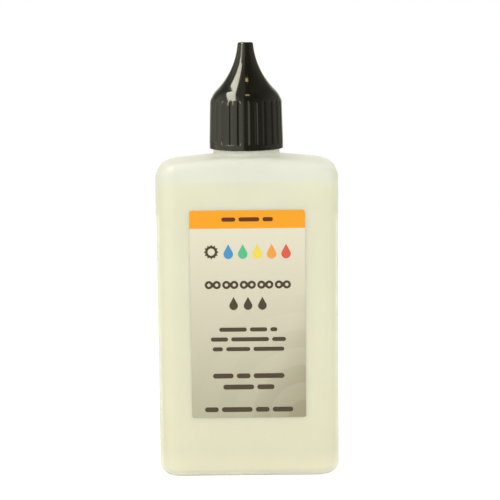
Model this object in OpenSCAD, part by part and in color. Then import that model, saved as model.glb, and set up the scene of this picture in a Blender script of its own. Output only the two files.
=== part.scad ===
// Chain lube bottle: a flat translucent squeeze bottle with a pressed-in dropper
// and a ribbed pointed screw cap. Millimetres, +Z up, front of the bottle at -Y.
// The origin is on the standing surface, under the middle of the neck.

/* [Bottle body] */
// Width across the broad faces
body_w = 56; // [50:0.5:66]
// Depth from the front face to the back face
body_d = 24; // [23:0.5:32]
// Height at which the shoulders meet the rounded side corners
shoulder_h = 97.5; // [85:0.5:115]
// Rise of the shoulders from the side corners to the neck
shoulder_rise = 2; // [1:0.1:5]
// Half the length of the level crown where the two shoulders meet
crown_x = 3; // [1:0.5:9]
// Radius of the four upright edges, seen from above
edge_r = 6.5; // [5.5:0.1:8]
// Radius of the shoulder corners, seen from the front
shoulder_r = 5; // [3:0.1:5.5]
// Radius along the front and back top edges
top_edge_r = 2.5; // [1.8:0.1:3.5]
// Radius of the lower corners, seen from the front
base_r = 4; // [2.5:0.1:5]
// Radius along the front and back bottom edges
base_edge_r = 2.5; // [1.8:0.1:3.5]
// Wall thickness of the blown shell
wall = 1; // [0.8:0.05:1.3]

/* [Base] */
// Width of the standing rim between the outer walls and the push-up
foot_w = 6.5; // [5:0.25:8]
// Depth of the push-up under the base
push_up = 0.8; // [0.4:0.1:1.5]
// Slope of the push-up's sides, as run for each unit of rise
push_up_slope = 1.5; // [1:0.1:2]

/* [Neck] */
// Diameter of the plain collar under the cap
collar_d = 20.4; // [19:0.1:22]
// Height of the collar above the crown of the shoulders
collar_h = 2; // [1.6:0.1:4]
// Outer diameter of the neck finish at the root of its thread
finish_d = 16.8; // [16.4:0.1:17.4]
// Height of the neck finish above the collar
finish_h = 11; // [9:0.5:13]
// Diameter of the bore through the neck finish
bore_d = 13.4; // [12:0.1:14]

/* [Oil] */
// Depth of the oil surface below the side corners of the shoulders
headspace = 8.3; // [7:0.1:50]
// Gap left between the oil and the shell
oil_gap = 0.1; // [0.05:0.05:0.2]

/* [Dropper] */
// Diameter of the flange that sits on the neck rim
flange_d = 16.2; // [15.6:0.1:16.8]
// Thickness of the flange
flange_t = 1.2; // [0.8:0.1:1.6]
// Length of the plug below the flange
plug_l = 9; // [6:0.5:11]
// Wall thickness of the plug
plug_wall = 1.2; // [0.9:0.1:1.5]
// Radial clearance of the plug in the neck bore
plug_gap = 0.05; // [0.02:0.01:0.1]
// Diameter of the nozzle where it leaves the flange
nozzle_d = 9; // [8:0.1:10]
// Diameter of the nozzle at its tip
nozzle_tip_d = 2; // [1.8:0.1:2.2]
// Wall thickness of the nozzle at the flange
nozzle_wall = 1.3; // [1:0.1:1.6]
// Diameter of the drip hole at the nozzle tip
drip_d = 1.1; // [1.05:0.05:1.3]
// Length of the straight drip hole
drip_l = 2.2; // [1.8:0.1:3]

/* [Cap outside] */
// Gap between the collar and the cap rim when the cap is closed
rim_gap = 0.3; // [0.2:0.05:0.6]
// Height of the cap from its rim to its tip
cap_h = 31.9; // [30:0.1:38]
// Diameter over the ribs just above the rim bead
cap_d = 22.5; // [22.2:0.1:24]
// Diameter over the ribs at the top of the skirt
skirt_top_d = 21.84; // [21.6:0.02:23]
// Height of the ribbed skirt above the rim
skirt_h = 14.1; // [13.8:0.1:15]
// Slope at which the rounded shoulder leaves the ribs, from the vertical
shoulder_edge_a = 15; // [10:1:20]
// Radius of the rounded shoulder between the skirt and the flare
cap_shoulder_r = 8; // [7:0.1:9]
// Diameter of the pointed end
tip_d = 4.68; // [4.5:0.02:5.2]
// Slope of the flare where it leaves the pointed end, from the vertical
tip_a = 5; // [3:0.5:7]
// Rounding of the edge of the pointed end
tip_round = 0.45; // [0.2:0.05:0.8]
// Diameter of the plain bead round the rim
bead_d = 22.7; // [22.6:0.1:24.5]
// Height of the rim bead
bead_h = 1.5; // [1:0.1:2]
// Number of grip ribs
rib_count = 30; // [20:1:40]
// Width of the groove between two ribs at the surface
groove_w = 1; // [0.6:0.05:1.2]
// Depth of the groove between two ribs
groove_depth = 0.45; // [0.3:0.05:0.5]

/* [Cap inside] */
// Wall thickness of the cap
cap_wall = 1.45; // [1.3:0.05:1.5]
// Thickness of the solid end above the cap's hollow
tip_wall = 3.5; // [3.2:0.1:4.5]
// Gap between the nozzle tip and the end of the cap's hollow
tip_gap = 0.3; // [0.2:0.05:0.5]
// Middle diameter of the ring that seals on the dropper's flange
seal_ring_d = 14.4; // [13.4:0.1:14.6]
// Thickness of the sealing ring
seal_ring_t = 1; // [0.8:0.1:1.2]
// Gap between the sealing ring and the flange
seal_gap = 0.05; // [0.02:0.01:0.1]
// Diameter of the pin that closes the drip hole
pin_d = 0.7; // [0.6:0.05:0.7]
// Length of the pin inside the drip hole
pin_l = 1.2; // [0.8:0.1:1.5]

/* [Front label] */
// Width of the label film
label_w = 35.1; // [30:0.1:40]
// Height of the label film
label_h = 64.5; // [50:0.5:68]
// Height of the label's lower edge above the standing surface
label_z = 18.9; // [15:0.1:22]
// Corner radius of the label film
label_r = 0.7; // [0.4:0.1:2]
// Thickness of the label film
film_t = 0.15; // [0.1:0.01:0.25]
// Height of the coloured band along the label's upper edge
band_h = 5.5; // [4:0.1:8]
// Thickness of a printed field
ink_t = 0.05; // [0.03:0.01:0.08]

/* [Printed marks] */
// Length of one link in the printed chain
link_l = 4.9; // [4.4:0.1:5.2]
// Height of one link in the printed chain
link_h = 2.5; // [2:0.1:2.8]
// Gap between two printed links
link_gap = 0.45; // [0.3:0.05:0.8]
// Height of the bars that stand for words
word_h = 1.25; // [1:0.05:1.5]
// Height of the taller bars in the lower rows
tall_word_h = 1.5; // [1.2:0.05:1.8]
// Length of a bar for each letter that it stands for
letter_w = 1.05; // [0.8:0.05:1.2]
// Gap between two such bars
word_gap = 1; // [0.6:0.05:1.2]
// Distance from the band down to the middle of the row of coloured drops
badge_down = 7.2; // [6:0.1:9]
// Distance from the band down to the middle of the chain
chain_down = 17.4; // [14:0.1:18]
// Distance from the band down to the row of small drops
drops_down = 23.9; // [22:0.1:25]
// Distance from the band down to the first of the three small rows
note_down = 31.3; // [30:0.1:33]
// Distance between two small rows
note_step = 3.05; // [2.6:0.05:3.4]
// Distance from the band down to the first of the two tall rows
use_down = 45.8; // [43:0.1:46]
// Distance between the two tall rows
use_step = 3.5; // [3:0.1:3.8]
// Distance of the last row from the lower edge of the label
foot_rise = 2.6; // [2:0.1:3]
// Gap between the chainring and the first coloured drop
badge_gap = 1.6; // [1:0.1:2]
// Diameter of the round part of a printed drop
drop_d = 2.9; // [2.4:0.1:3.1]
// Distance between the middles of two printed drops
drop_step = 4.4; // [3.8:0.1:4.5]
// Outer diameter of the printed chainring
ring_d = 4.3; // [3.6:0.1:4.6]
// Number of teeth on the printed chainring
ring_teeth = 12; // [8:1:16]

/* [Hidden] */

// A small overlap that keeps cuts and joins clean
eps = 0.01;

// Smoothness of bores and revolved shapes
round_fn = 96;

// Smoothness of the discs that the shell's hull is stretched over
corner_fn = 40;

// Steps in a quarter of a rounded edge
edge_steps = 8;

// Steps in each arc of the cap's outline
outline_steps = 14;

// Heights that stack up the neck
crown_z = shoulder_h + shoulder_rise;
collar_top = crown_z + collar_h;
neck_top = collar_top + finish_h;
flange_top = neck_top + flange_t;

// The cap hangs over the finish and stops just above the collar
rim_z = collar_top + rim_gap;
cap_top = rim_z + cap_h;

// Height of the oil surface
fill_z = shoulder_h - headspace;

// Centres of the upright edges
edge_x = body_w / 2 - edge_r;
edge_y = body_d / 2 - edge_r;
front_y = -body_d / 2;

// How far a rounded edge stands in from the flat below it, a given depth from its top
function inset(depth, r) = depth < r ? r - sqrt(r * r - (r - depth) * (r - depth)) : 0;

// One level slice of an upright edge: an ellipse that stands in by in_x and in_y
module edge_slice(x, y, z, r, in_x, in_y) {
    translate([x, y, z])
        scale([r - in_x, r - in_y, 1])
            cylinder(r = 1, h = eps, center = true, $fn = corner_fn);
}

// The slices that round an upright edge over at end_z; up is 1 at the top and -1 at the base
module rounded_end(x, y, end_z, up, side_r, face_r, skin) {
    for (i = [0 : edge_steps]) {
        depth = side_r * (1 - sin(90 * i / edge_steps));
        edge_slice(x, y, end_z - up * depth, edge_r - skin,
                   inset(depth, side_r), inset(depth, face_r));
    }
}

// The smooth outer form of the bottle, or a form that lies a given skin inside it
module shell_form(skin) {
    hull() {
        for (sx = [-1, 1], sy = [-1, 1]) {
            rounded_end(sx * edge_x, sy * edge_y, skin, -1,
                        base_r - skin, base_edge_r - skin, skin);
            rounded_end(sx * edge_x, sy * edge_y, shoulder_h - skin, 1,
                        shoulder_r - skin, top_edge_r - skin, skin);
            rounded_end(sx * crown_x, sy * edge_y, crown_z - skin, 1,
                        shoulder_r - skin, top_edge_r - skin, skin);
        }
    }
}

// The shallow hollow under the base, or the raised floor that lies over it
module push_up_form(skin) {
    top = push_up + skin;
    corner = edge_r - foot_w / 2;
    wide_r = corner + skin * sqrt(1 + push_up_slope * push_up_slope);
    hull() {
        for (sx = [-1, 1], sy = [-1, 1]) {
            translate([sx * (body_w / 2 - foot_w - corner), sy * (body_d / 2 - foot_w - corner)]) {
                translate([0, 0, -eps])
                    cylinder(r = wide_r, h = eps, $fn = corner_fn);
                translate([0, 0, top - eps])
                    cylinder(r = wide_r - push_up_slope * top, h = eps, $fn = corner_fn);
            }
        }
    }
}

// Blow-moulded shell: hollow body, plain collar and the neck finish with its bore
module bottle() {
    collar_void_top = collar_top - wall;
    color([0.93, 0.92, 0.82, 0.6])
        difference() {
            union() {
                shell_form(0);
                translate([0, 0, shoulder_h - shoulder_r])
                    cylinder(d = collar_d, h = collar_top - shoulder_h + shoulder_r, $fn = round_fn);
                translate([0, 0, shoulder_h])
                    cylinder(d = finish_d, h = neck_top - shoulder_h, $fn = round_fn);
            }
            difference() {
                shell_form(wall);
                push_up_form(wall);
            }
            translate([0, 0, shoulder_h - shoulder_r])
                cylinder(d = collar_d - 2 * wall, h = collar_void_top - shoulder_h + shoulder_r,
                         $fn = round_fn);
            translate([0, 0, shoulder_h])
                cylinder(d = bore_d, h = neck_top - shoulder_h + eps, $fn = round_fn);
            push_up_form(0);
        }
}

// Oil up to the fill line, as one closed body just clear of the shell
module oil() {
    skin = wall + oil_gap;
    color([0.9, 0.86, 0.62, 0.7])
        difference() {
            hull() {
                for (sx = [-1, 1], sy = [-1, 1]) {
                    rounded_end(sx * edge_x, sy * edge_y, skin, -1,
                                base_r - skin, base_edge_r - skin, skin);
                    edge_slice(sx * edge_x, sy * edge_y, fill_z, edge_r - skin, 0, 0);
                }
            }
            push_up_form(skin);
        }
}

// Dropper pressed into the neck: hollow plug, flange and tapered nozzle in one piece
module dropper_insert() {
    plug_r = bore_d / 2 - plug_gap;
    plug_bottom = neck_top - plug_l;
    nozzle_top = hollow_top - tip_gap;
    drip_z = nozzle_top - drip_l;
    lead = plug_wall / 2;
    color([0.9, 0.9, 0.86])
        rotate_extrude($fn = round_fn)
            polygon([
                [plug_r - lead, plug_bottom],
                [plug_r, plug_bottom + 2 * lead],
                [plug_r, neck_top],
                [flange_d / 2, neck_top],
                [flange_d / 2, flange_top],
                [nozzle_d / 2, flange_top],
                [nozzle_tip_d / 2, nozzle_top],
                [drip_d / 2, nozzle_top],
                [drip_d / 2, drip_z],
                [nozzle_d / 2 - nozzle_wall, flange_top],
                [plug_r - plug_wall, neck_top - flange_t],
                [plug_r - plug_wall, plug_bottom]
            ]);
}

// The cap's outline has two arcs that run into each other. The rounded shoulder's circle
// passes through the top of the skirt. The flare's circle passes through the edge of the
// tip, at the tip's own slope, and touches the shoulder's circle.
function along(a) = [cos(a), sin(a)];
function radius_to_touch(gap, a) =
    (gap * gap - cap_shoulder_r * cap_shoulder_r) / (2 * (cap_shoulder_r - along(a) * gap));
skirt_top = [skirt_top_d / 2, rim_z + skirt_h];
tip_edge = [tip_d / 2, cap_top - tip_round];
shoulder_c = skirt_top - cap_shoulder_r * along(shoulder_edge_a);
flare_r = radius_to_touch(tip_edge - shoulder_c, tip_a);
flare_c = tip_edge + flare_r * along(tip_a);
meet_a = atan2(flare_c[1] - shoulder_c[1], flare_c[0] - shoulder_c[0]);

// Points down the flare and over the shoulder, a given skin inside the cap's surface
function flare_points(skin) = [
    for (i = [0 : outline_steps])
        flare_c - (flare_r + skin) * along(tip_a + (meet_a - tip_a) * i / outline_steps)
];
function shoulder_points(skin) = [
    for (i = [1 : outline_steps])
        shoulder_c + (cap_shoulder_r - skin)
            * along(meet_a + (shoulder_edge_a - meet_a) * i / outline_steps)
];

// The cap's hollow: its closed end, the bore under the shoulder, and its height at a radius
hollow_top = cap_top - tip_wall;
bore_r = shoulder_points(cap_wall)[outline_steps - 1][0];
function hollow_z(r) =
    flare_c[1] - sqrt(pow(flare_r + cap_wall, 2) - pow(flare_c[0] - r, 2));

// Full outline of the cap without its grooves
module cap_outline() {
    tip_c = [tip_edge[0] - tip_round, tip_edge[1]];
    tip_arc = [for (a = [90 : -15 : 15]) tip_c + tip_round * along(a)];
    bead_z = rim_z + bead_h;
    polygon(concat(
        [[0, rim_z], [0, cap_top]],
        tip_arc,
        flare_points(0),
        shoulder_points(0),
        [
            [cap_d / 2, bead_z + (bead_d - cap_d) / 2],
            [bead_d / 2, bead_z],
            [bead_d / 2, rim_z + (bead_d - cap_d) / 2],
            [cap_d / 2, rim_z]
        ]
    ));
}

// Outline of the cap's hollow, cut level at hollow_top
module hollow_outline() {
    inside = concat(flare_points(cap_wall), shoulder_points(cap_wall));
    intersection() {
        polygon(concat([[0, cap_top]], inside, [[bore_r, rim_z - eps], [0, rim_z - eps]]));
        translate([0, rim_z - eps])
            square([cap_d, hollow_top - rim_z + eps]);
    }
}

// One upright groove between two ribs, leaning with the skirt's taper
module groove() {
    lean = atan((cap_d - skirt_top_d) / 2 / skirt_h);
    floor_w = groove_w / 2;
    translate([cap_d / 2, 0, rim_z + bead_h])
        rotate([0, -lean, 0])
            linear_extrude(height = skirt_h)
                polygon([
                    [-groove_depth, -floor_w / 2],
                    [groove_depth, floor_w / 2 - groove_w],
                    [groove_depth, groove_w - floor_w / 2],
                    [-groove_depth, floor_w / 2]
                ]);
}

// Pointed screw cap: ribbed skirt, rounded shoulder, hollow flare, sealing ring and pin
module cap() {
    ring_top = hollow_z((seal_ring_d - seal_ring_t) / 2);
    ring_bottom = flange_top + seal_gap;
    color([0.13, 0.13, 0.11]) {
        difference() {
            rotate_extrude($fn = round_fn) cap_outline();
            rotate_extrude($fn = round_fn) hollow_outline();
            for (i = [0 : rib_count - 1])
                rotate([0, 0, 360 * (i + 0.5) / rib_count]) groove();
        }
        difference() {
            translate([0, 0, ring_bottom])
                cylinder(d = seal_ring_d + seal_ring_t, h = ring_top - ring_bottom, $fn = round_fn);
            translate([0, 0, ring_bottom - eps])
                cylinder(d = seal_ring_d - seal_ring_t, h = ring_top - ring_bottom + 2 * eps,
                         $fn = round_fn);
        }
        translate([0, 0, hollow_top - tip_gap - pin_l])
            cylinder(d = pin_d, h = tip_gap + pin_l + eps, $fn = round_fn);
    }
}

// A flat shape that lies on the front of the bottle, level layers out from the face
module on_front(out, t) {
    translate([0, front_y - out, 0])
        rotate([90, 0, 0])
            linear_extrude(height = t) children();
}

// A rectangle with round corners, from its lower left corner
module round_rect(w, h, r) {
    union() {
        translate([r, 0]) square([w - 2 * r, h]);
        translate([0, r]) square([w, h - 2 * r]);
        for (x = [r, w - r], y = [r, h - r])
            translate([x, y]) circle(r = r, $fn = 32);
    }
}

// The label film in outline
module label_outline() {
    translate([-label_w / 2, label_z]) round_rect(label_w, label_h, label_r);
}

module label_film() {
    color([0.82, 0.79, 0.71]) on_front(0, film_t) label_outline();
}

// The coloured band fills the label above this line
band_z = label_z + label_h - band_h;

module label_band() {
    color([0.98, 0.65, 0.14])
        on_front(film_t, ink_t)
            intersection() {
                label_outline();
                translate([-label_w / 2, band_z]) square([label_w, band_h]);
            }
}

// Length of the bar that stands for a word of so many letters
function word_l(letters) = letters * letter_w;

// Sum of the first lengths in a row of words
function row_l(words, count) =
    count == 0 ? 0 : word_l(words[count - 1]) + row_l(words, count - 1);

// Round-ended bars side by side about the middle, one for each word
module word_row(z, h, words) {
    total = row_l(words, len(words)) + word_gap * (len(words) - 1);
    for (i = [0 : len(words) - 1])
        translate([row_l(words, i) + word_gap * i - total / 2, z - h / 2])
            round_rect(word_l(words[i]), h, h / 2 - eps);
}

// One link plate of a bicycle chain: two round ends, a waist and two pin holes
module link_plate(l, h) {
    end_x = (l - h) / 2;
    difference() {
        union() {
            for (sx = [-1, 1]) translate([sx * end_x, 0]) circle(d = h, $fn = 32);
            square([2 * end_x, h * 0.55], center = true);
        }
        for (sx = [-1, 1]) translate([sx * end_x, 0]) circle(d = h * 0.42, $fn = 24);
    }
}

// A row of link plates that stand apart by a thin line
module chain_row(z, count) {
    for (i = [0 : count - 1])
        translate([(i - (count - 1) / 2) * (link_l + link_gap), z]) link_plate(link_l, link_h);
}

// A hanging drop in one outline: a round foot, and straight sides that touch it
module drop(d) {
    tip = 1.05 * d;
    touch_a = asin(d / 2 / tip);
    sweep = 180 + 2 * touch_a;
    polygon(concat([[0, tip]], [
        for (i = [0 : outline_steps])
            d / 2 * along(180 - touch_a + sweep * i / outline_steps)
    ]));
}

// A chainring seen from the side
module chainring() {
    difference() {
        union() {
            circle(d = ring_d * 0.86, $fn = 48);
            for (i = [0 : ring_teeth - 1])
                rotate(360 * i / ring_teeth)
                    translate([0, -ring_d / ring_teeth / 2]) square([ring_d / 2, ring_d / ring_teeth]);
        }
        circle(d = ring_d * 0.52, $fn = 48);
    }
}

// The chainring and the coloured drops make one row about the label's middle
badge_w = ring_d + badge_gap + 4 * drop_step + drop_d;
ring_x = (ring_d - badge_w) / 2;
first_drop_x = ring_x + (ring_d + drop_d) / 2 + badge_gap;

// Dark print: chainring, chain, small drops and bars in place of words
module print_dark() {
    color([0.3, 0.26, 0.15]) {
        on_front(film_t, ink_t) {
            translate([ring_x, band_z - badge_down]) chainring();
            chain_row(band_z - chain_down, 5);
            for (i = [-1 : 1])
                translate([i * drop_step, band_z - drops_down]) drop(0.9 * drop_d);
            word_row(band_z - note_down, word_h, [8, 5, 2]);
            word_row(band_z - note_down - note_step, word_h, [5, 11, 4]);
            word_row(band_z - note_down - 2 * note_step, word_h, [3, 7, 9]);
            word_row(band_z - use_down, tall_word_h, [6, 4, 9]);
            word_row(band_z - use_down - use_step, tall_word_h, [9, 5]);
            word_row(label_z + foot_rise, tall_word_h, [4, 9, 4, 6]);
        }
        on_front(film_t + ink_t, ink_t)
            word_row(band_z + band_h / 2, word_h, [4, 6, 3]);
    }
}

// Five drops of colour beside the chainring
module print_drops() {
    color([0.86, 0.3, 0.2])
        on_front(film_t, ink_t)
            for (i = [0 : 4])
                translate([first_drop_x + i * drop_step, band_z - badge_down - drop_d / 4])
                    drop(drop_d);
}

bottle();
oil();
dropper_insert();
cap();
label_film();
label_band();
print_dark();
print_drops();
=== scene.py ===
import math

import bmesh
import bpy
from mathutils import Matrix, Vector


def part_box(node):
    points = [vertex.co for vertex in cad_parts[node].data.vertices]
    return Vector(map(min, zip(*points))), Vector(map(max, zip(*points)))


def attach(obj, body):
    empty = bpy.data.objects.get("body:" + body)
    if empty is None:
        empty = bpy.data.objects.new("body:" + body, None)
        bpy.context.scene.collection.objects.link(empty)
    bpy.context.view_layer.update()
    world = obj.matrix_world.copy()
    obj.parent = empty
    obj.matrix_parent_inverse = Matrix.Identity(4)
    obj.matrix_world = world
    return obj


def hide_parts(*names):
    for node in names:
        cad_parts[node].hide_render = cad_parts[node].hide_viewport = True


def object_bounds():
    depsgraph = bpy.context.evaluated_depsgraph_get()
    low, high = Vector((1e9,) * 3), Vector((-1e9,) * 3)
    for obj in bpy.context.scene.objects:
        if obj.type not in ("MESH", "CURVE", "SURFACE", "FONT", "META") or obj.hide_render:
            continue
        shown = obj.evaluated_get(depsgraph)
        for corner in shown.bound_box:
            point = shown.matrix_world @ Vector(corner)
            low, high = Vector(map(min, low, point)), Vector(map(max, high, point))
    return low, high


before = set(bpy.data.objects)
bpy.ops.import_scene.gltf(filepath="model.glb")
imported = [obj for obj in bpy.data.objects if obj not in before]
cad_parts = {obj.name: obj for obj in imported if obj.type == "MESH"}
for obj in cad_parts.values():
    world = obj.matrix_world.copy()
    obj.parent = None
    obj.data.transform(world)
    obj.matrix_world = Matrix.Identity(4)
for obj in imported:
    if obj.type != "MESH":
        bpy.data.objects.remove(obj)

bl_info = {
    "name": "Chain Lube Bottle",
    "version": (1, 0, 0),
    "blender": (4, 5, 0),
    "location": "View3D > Sidebar > Lube Bottle",
    "description": "Dresses a squeeze bottle of chain lube with its oil, dropper, screw cap and label",
    "category": "Object",
}

MM = 0.001
# two places closer than this count as one
TINY = 0.01 * MM
# radius of the last ring of a form that closes on its axis, and how near points are merged
POLE = TINY / 10
# columns of faces in the bottle's rounded corners
CORNER_STEPS = 12
# columns of faces in one rib, and the groove's share of its depth from its middle outwards
RIB_COLUMNS = 12
GROOVE = (1.0, 0.78, 0.28)
# how deep the root of a thread is sunk in its wall
SINK = 0.1 * MM
# from the wall inwards, each step's share of the meniscus's height and its width
MENISCUS = ((0.45, 0.25 * MM), (0.25, 0.4 * MM), (0.18, 0.7 * MM), (0.12, 1.2 * MM))
CAD_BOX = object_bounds()
SHELL_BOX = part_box("bottle")
CAP_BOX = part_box("cap")
OIL_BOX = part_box("oil")
DROPPER_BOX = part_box("dropper_insert")
FILM_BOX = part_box("label_film")
BAND_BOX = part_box("label_band")
DROPS_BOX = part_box("print_drops")


# Settings

def linear(code):
    """The linear colour of an sRGB hex code."""
    parts = [int(code[i:i + 2], 16) / 255 for i in (0, 2, 4)]
    return [c / 12.92 if c <= 0.04045 else ((c + 0.055) / 1.055) ** 2.4 for c in parts]


def length(name, description, mm):
    """A size in millimetres, kept in metres."""
    return bpy.props.FloatProperty(
        name=name, description=description, default=mm * MM, min=0, unit="LENGTH", precision=5)


def number(name, description, default, most):
    return bpy.props.FloatProperty(
        name=name, description=description, default=default, min=0, max=most)


def angle(name, description, degrees):
    return bpy.props.FloatProperty(
        name=name, description=description, default=math.radians(degrees), subtype="ANGLE")


def colour(name, description, code):
    return bpy.props.FloatVectorProperty(
        name=name, description=description, default=linear(code), size=3, min=0, max=1,
        subtype="COLOR")


class ShellSettings(bpy.types.PropertyGroup):
    edge_radius: length("Upright edges", "Radius of the upright edges, seen from above", 6.5)
    shoulder_height: length("Shoulder height", "Height of the shoulders' side corners", 97.5)
    shoulder_rise: length("Shoulder rise", "Rise from the side corners to the neck", 2.0)
    crown_half: length("Crown", "Half the length of the arc between the two shoulders", 7.0)
    shoulder_radius: length("Shoulder radius", "Side corners, seen from the front", 5.0)
    top_radius: length("Top edge", "Radius along the front and back top edges", 2.5)
    base_radius: length("Base corners", "Lower corners, seen from the front", 3.4)
    base_edge_radius: length("Base edge", "Radius along the front and back bottom edges", 2.5)
    wall: length("Wall", "Wall thickness of the blown shell", 1.0)
    foot_width: length("Standing rim", "Width of the rim round the push-up", 6.5)
    push_up: length("Push-up", "Depth of the hollow under the base", 0.8)
    seam: length("Parting line", "Depth of the fine line that the two mould halves leave", 0.06)
    pinch: length("Pinch-off", "Length of the scar under the base where the tube was pinched", 26)
    wet: length("Wet wall", "How far above its level the oil wets the wall", 2.2)
    plastic: colour("Plastic", "Natural polyethylene", "F5F6E6")
    # painted light: the base's lighter, yellower colour stands for light that gathers in the oil
    foot: colour("Plastic, base", "Natural polyethylene with the oil's light in it", "FFFDE4")
    haze: number("Haze", "How much the outside of the wall hides", 0.66, 1)
    inner_haze: number("Inner haze", "How much the inside of the wall hides", 0.3, 1)


class NeckSettings(bpy.types.PropertyGroup):
    collar_diameter: length("Collar", "Diameter of the plain collar under the cap", 20.4)
    collar_gap: length("Gap under the cap", "Gap between the collar and the closed cap", 0.55)
    collar_fillet: length("Collar fillet", "Radius where the collar meets the shoulders", 0.6)
    finish_diameter: length("Finish", "Diameter at the root of the thread", 16.8)
    bore_diameter: length("Bore", "Diameter of the bore through the neck", 13.4)
    pitch: length("Thread pitch", "Rise of the thread in one turn", 3.2)
    thread_height: length("Thread height", "Height of the thread over its root", 0.75)
    thread_width: length("Thread width", "Width of the thread at its root", 1.5)
    thread_start: length("Thread start", "Height of the thread's lower end over the collar", 3.0)
    thread_turns: number("Thread turns", "Turns of the thread on the neck", 1.6, 3)


class OilSettings(bpy.types.PropertyGroup):
    gap: length("Gap", "Gap between the oil and the shell", 0.1)
    meniscus: length("Meniscus", "Height to which the oil climbs the wall", 0.35)
    # painted reflection: the surface's deeper colour stands for the wall mirrored in it
    surface: colour("Oil, surface", "Light mineral oil at its surface and meniscus", "F8F050")
    oil: colour("Oil", "Light mineral oil near its surface", "FAF2A6")
    # painted shade: the oil's deeper colour at the bottom stands for light that has passed through more
    # oil
    painted_deep_shade: colour("Oil, deep", "Light mineral oil at the bottom", "FBEB8C")


class DropperSettings(bpy.types.PropertyGroup):
    flange: length("Flange", "Thickness of the flange on the neck rim", 1.2)
    plug_diameter: length("Plug", "Diameter of the plug in the neck", 13.3)
    plug_wall: length("Plug wall", "Wall thickness of the plug", 1.2)
    nozzle_diameter: length("Nozzle", "Diameter of the nozzle at the flange", 9.0)
    tip_diameter: length("Nozzle tip", "Diameter of the nozzle at its tip", 2.0)
    nozzle_wall: length("Nozzle wall", "Wall thickness of the nozzle at the flange", 1.3)
    drip_diameter: length("Drip hole", "Diameter of the hole at the tip", 1.1)
    drip_length: length("Drip hole length", "Length of the straight hole", 2.2)
    plastic: colour("Plastic", "Natural low-density polyethylene", "F0EFE6")


class CapSettings(bpy.types.PropertyGroup):
    rim_gap: length("Rim gap", "Gap between the cap's rim and the collar", 0.08)
    wall: length("Wall", "Wall thickness of the cap", 1.45)
    skirt_height: length("Skirt", "Height of the ribbed skirt", 14.35)
    skirt_diameter: length("Skirt diameter", "Diameter over the ribs above the bead", 22.64)
    skirt_top: length("Skirt top", "Diameter over the ribs at the shoulder", 21.94)
    bead_height: length("Bead", "Height of the plain bead round the rim", 1.7)
    shoulder_radius: length("Shoulder radius", "Rounding between skirt and flare", 8.0)
    shoulder_slope: angle("Shoulder slope", "Slope where the shoulder leaves the ribs", 15)
    tip_diameter: length("Tip", "Diameter of the pointed end", 4.8)
    tip_slope: angle("Tip slope", "Slope where the flare leaves the tip", 5)
    tip_round: length("Tip rounding", "Rounding of the edge of the tip", 0.6)
    tip_wall: length("Tip wall", "Solid end above the cap's hollow", 3.5)
    rib_count: bpy.props.IntProperty(name="Ribs", description="Number of grip ribs", default=26)
    rib_turn: angle("Turn of the ribs", "Angle of the first groove from the front, to the right", 2.6)
    groove_depth: length("Groove depth", "Depth of the groove between two ribs", 0.3)
    thread_depth: length("Thread depth", "Height of the thread inside the cap", 0.85)
    thread_width: length("Thread width", "Width of the thread at its root", 1.3)
    thread_turns: number("Thread turns", "Turns of the thread inside the cap", 1.5, 3)
    ring_diameter: length("Sealing ring", "Middle diameter of the ring that seals the dropper", 14.4)
    ring_wall: length("Sealing ring wall", "Thickness of the sealing ring", 1.0)
    ring_gap: length("Sealing gap", "Gap between the ring and the dropper's flange", 0.05)
    pin_diameter: length("Pin", "Diameter of the pin that plugs the drip hole", 0.7)
    pin_length: length("Pin length", "How far the pin reaches into the hole", 1.2)
    plastic: colour("Plastic", "Black polypropylene", "14130C")


class LabelSettings(bpy.types.PropertyGroup):
    paper_top: colour("Film, top", "Film at the upper edge", "E4DEC6")
    paper_low: colour("Film, left", "Film at the lower left corner", "B3AF94")
    paper_dark: colour("Film, right", "Film at the lower right corner", "9B9276")
    band: colour("Band", "Band along the upper edge", "F9A400")
    ink: colour("Dark ink", "Chainring, chain and bars", "45351B")
    band_ink: colour("Dark ink, band", "Bars printed over the orange band", "5C2A00")


class StageSettings(bpy.types.PropertyGroup):
    distance: length("Distance", "Camera in front of the neck's axis", 570)
    height: length("Height", "Camera above the floor", 156.94)
    aside: length("Aside", "Camera to the right of the axis", 0.78)
    pitch: angle("Pitch", "Camera tilted down", 8.735)
    roll: angle("Roll", "Camera rolled clockwise", 0.6)
    lens: number("Lens", "Focal length in millimetres", 133.53, 500)


# Modelling

def start(operator, **settings):
    """Adds a primitive at its place, puts its object at the origin and opens it in edit mode."""
    bpy.ops.object.select_all(action="DESELECT")
    operator(**settings)
    bpy.ops.object.transform_apply(location=True, rotation=True, scale=True)
    bpy.ops.object.mode_set(mode="EDIT")
    pick_all()


def pick(test):
    """In edit mode, selects the vertices that pass the test and the faces between them."""
    bpy.ops.mesh.select_mode(type="VERT")
    bpy.ops.mesh.select_all(action="DESELECT")
    data = bpy.context.edit_object.data
    mesh = bmesh.from_edit_mesh(data)
    for v in mesh.verts:
        v.select = test(v.co)
    mesh.select_flush(True)
    bmesh.update_edit_mesh(data)


def pick_level(z):
    pick(lambda p: abs(p.z - z) < TINY)


def pick_all():
    bpy.ops.mesh.select_all(action="SELECT")


def extrude_up(height):
    """Extrudes the selected end along Z."""
    bpy.ops.mesh.extrude_region_move(TRANSFORM_OT_translate={"value": (0, 0, height)})


def resize(factors, centre):
    """Scales what is selected about a centre."""
    bpy.ops.transform.resize(value=factors, center_override=centre)


def leave(name):
    """Closes edit mode with the normals outside, and names the piece."""
    pick_all()
    bpy.ops.mesh.remove_doubles(threshold=POLE)
    bpy.ops.mesh.normals_make_consistent(inside=False)
    bpy.ops.object.mode_set(mode="OBJECT")
    piece = bpy.context.active_object
    piece.name = piece.data.name = name
    return piece


def choose(piece):
    """Makes the piece the only selected object, and the active one."""
    bpy.ops.object.select_all(action="DESELECT")
    bpy.context.view_layer.objects.active = piece
    piece.select_set(True)


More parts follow.
